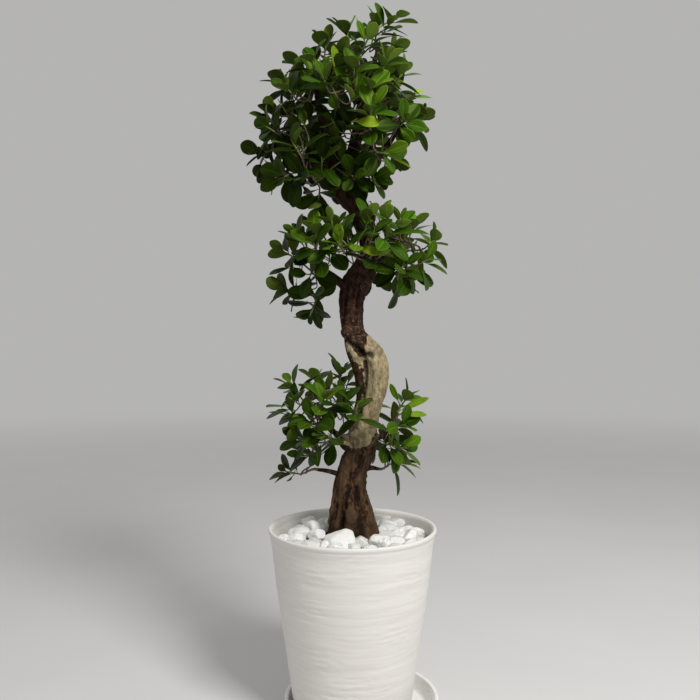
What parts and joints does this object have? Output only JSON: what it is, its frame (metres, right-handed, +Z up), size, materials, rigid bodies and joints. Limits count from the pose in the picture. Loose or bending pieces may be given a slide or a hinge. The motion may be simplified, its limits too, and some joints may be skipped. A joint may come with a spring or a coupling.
{
  "type": "chinese banyan bonsai in a pot",
  "caption": "Banyan bonsai with an S-shaped trunk and tiered heads of glossy leaves, in a tall tapered pot topped with white stones, standing on a saucer.",
  "frame": {"origin": "on the pot's axis, on the surface that the saucer stands on", "axes": "+Z up along the pot's axis, +X to the right and -Y towards the camera of the picture"},
  "size_m": [0.3272, 0.2617, 1.0907],
  "materials": {
    "saucer": "satin",
    "pot": "satin",
    "soil": "matte",
    "pebbles": "satin",
    "bark": "matte",
    "leaf": "satin"
  },
  "bodies": {
    "root": {"saucer": "saucer", "pot": "pot", "soil": "soil", "pebbles": "pebbles", "trunk": "bark", "crown_spray_top_right": "leaf", "crown_spray_top_middle": "leaf", "crown_spray_top_left": "leaf", "crown_spray_front_high": "leaf", "crown_spray_right_high": "leaf", "crown_spray_right": "leaf", "crown_spray_front_right": "leaf", "crown_spray_left_high": "leaf", "crown_spray_left": "leaf", "crown_spray_left_low": "leaf", "crown_spray_low_front": "leaf", "crown_spray_low_right": "leaf", "crown_spray_back_top": "leaf", "crown_spray_back_middle": "leaf", "crown_spray_back_right": "leaf", "crown_spray_back_low": "leaf", "middle_spray_left": "leaf", "middle_spray_hanging": "leaf", "middle_spray_front": "leaf", "middle_spray_right": "leaf", "middle_spray_right_low": "leaf", "middle_spray_back": "leaf", "lower_spray_left_high": "leaf", "lower_spray_left_middle": "leaf", "lower_spray_front": "leaf", "lower_spray_hanging": "leaf", "lower_spray_right": "leaf", "lower_spray_right_low": "leaf", "lower_spray_back": "leaf"}
  },
  "joints": []
}
